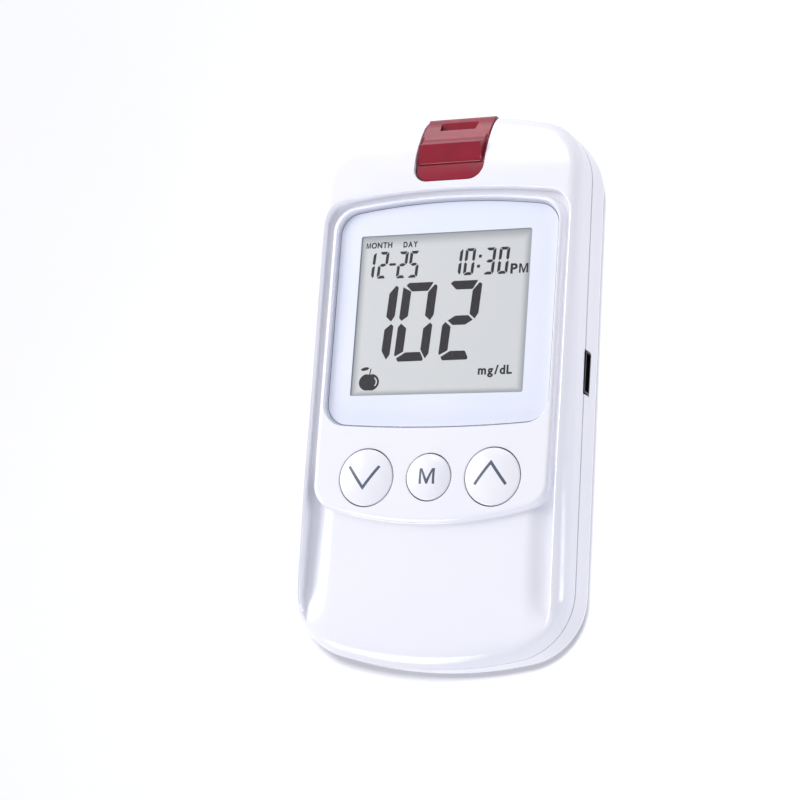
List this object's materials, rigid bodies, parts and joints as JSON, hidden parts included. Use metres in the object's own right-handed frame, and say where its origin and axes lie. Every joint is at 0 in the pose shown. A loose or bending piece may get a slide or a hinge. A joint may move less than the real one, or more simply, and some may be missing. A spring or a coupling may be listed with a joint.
{
  "type": "blood glucose meter",
  "caption": "Hand-held blood glucose meter with a large display window, round keys below it, a sliding strip ejector at the top end and a sliding battery cover.",
  "frame": {"origin": "on the surface the meter lies on, under the middle of its case", "axes": "+X to the right as the display is read, +Y towards the strip port at the top end, +Z out of the display"},
  "size_m": [0.052, 0.0996, 0.0203],
  "materials": {
    "white_gloss_case": "glossy moulded",
    "clear_window": "glossy, clear over the display",
    "red_gloss": "glossy moulded",
    "key_white": "glossy moulded",
    "white_acetal": "matte moulded",
    "display_glass": "polished",
    "display_film": "satin",
    "foam_tape": "matte",
    "grey_elastomer": "matte",
    "silicone": "matte",
    "carbon_pill": "matte",
    "green_board": "satin mask",
    "black_epoxy": "matte",
    "tinned_can": "tinned",
    "ceramic": "matte",
    "black_plastic": "matte moulded",
    "gold_contact": "gold plated",
    "spring_steel": "bright",
    "nickel_steel": "nickel plated",
    "zinc_screw": "zinc plated",
    "cell_can": "printed sleeve, bare"
  },
  "bodies": {
    "meter": {"front_shell": "white_gloss_case", "rear_shell": "white_gloss_case", "display_window": "clear_window", "window_adhesive": "foam_tape", "lcd_panel": "display_glass", "front_polariser": "display_film", "rear_reflector": "display_film", "elastomer_connectors": "grey_elastomer", "lcd_frame": "white_acetal", "down_dome": "silicone", "memory_dome": "silicone", "up_dome": "silicone", "main_board": "green_board", "control_chip": "black_epoxy", "radio_module": "tinned_can", "buzzer": "black_plastic", "clock_crystal": "tinned_can", "board_components": "ceramic", "board_screws": "zinc_screw", "strip_connector": "black_plastic", "strip_contacts": "gold_contact", "ejector_spring": "spring_steel", "usb_port": "nickel_steel", "usb_tongue": "black_plastic", "left_cell": "cell_can", "right_cell": "cell_can", "battery_plates": "nickel_steel", "battery_springs": "spring_steel", "case_screws": "zinc_screw"},
    "ejector": {"strip_ejector": "red_gloss", "ejector_carriage": "white_acetal"},
    "down_key": {"down_button": "key_white", "down_contact": "carbon_pill"},
    "memory_key": {"memory_button": "key_white", "memory_contact": "carbon_pill"},
    "up_key": {"up_button": "key_white", "up_contact": "carbon_pill"},
    "battery_door": {"battery_cover": "white_gloss_case"}
  },
  "joints": [
    {"name": "ejector_slide", "type": "slide", "parent": "meter", "child": "ejector", "axis": [0, 1, 0], "range_m": [0, 0.0045], "stiffness_N_per_m": 150, "springref_m": -0.003, "deforming": ["ejector_spring"]},
    {"name": "down_press", "type": "slide", "parent": "meter", "child": "down_key", "axis": [0, 0, -1], "range_m": [0, 0.00055], "stiffness_N_per_m": 2000, "springref_m": -0.0002, "deforming": ["down_dome"]},
    {"name": "memory_press", "type": "slide", "parent": "meter", "child": "memory_key", "axis": [0, 0, -1], "range_m": [0, 0.00055], "stiffness_N_per_m": 2000, "springref_m": -0.0002, "deforming": ["memory_dome"]},
    {"name": "up_press", "type": "slide", "parent": "meter", "child": "up_key", "axis": [0, 0, -1], "range_m": [0, 0.00055], "stiffness_N_per_m": 2000, "springref_m": -0.0002, "deforming": ["up_dome"]},
    {"name": "battery_cover_slide", "type": "slide", "parent": "meter", "child": "battery_door", "axis": [0, -1, 0], "range_m": [0, 0.066]}
  ]
}
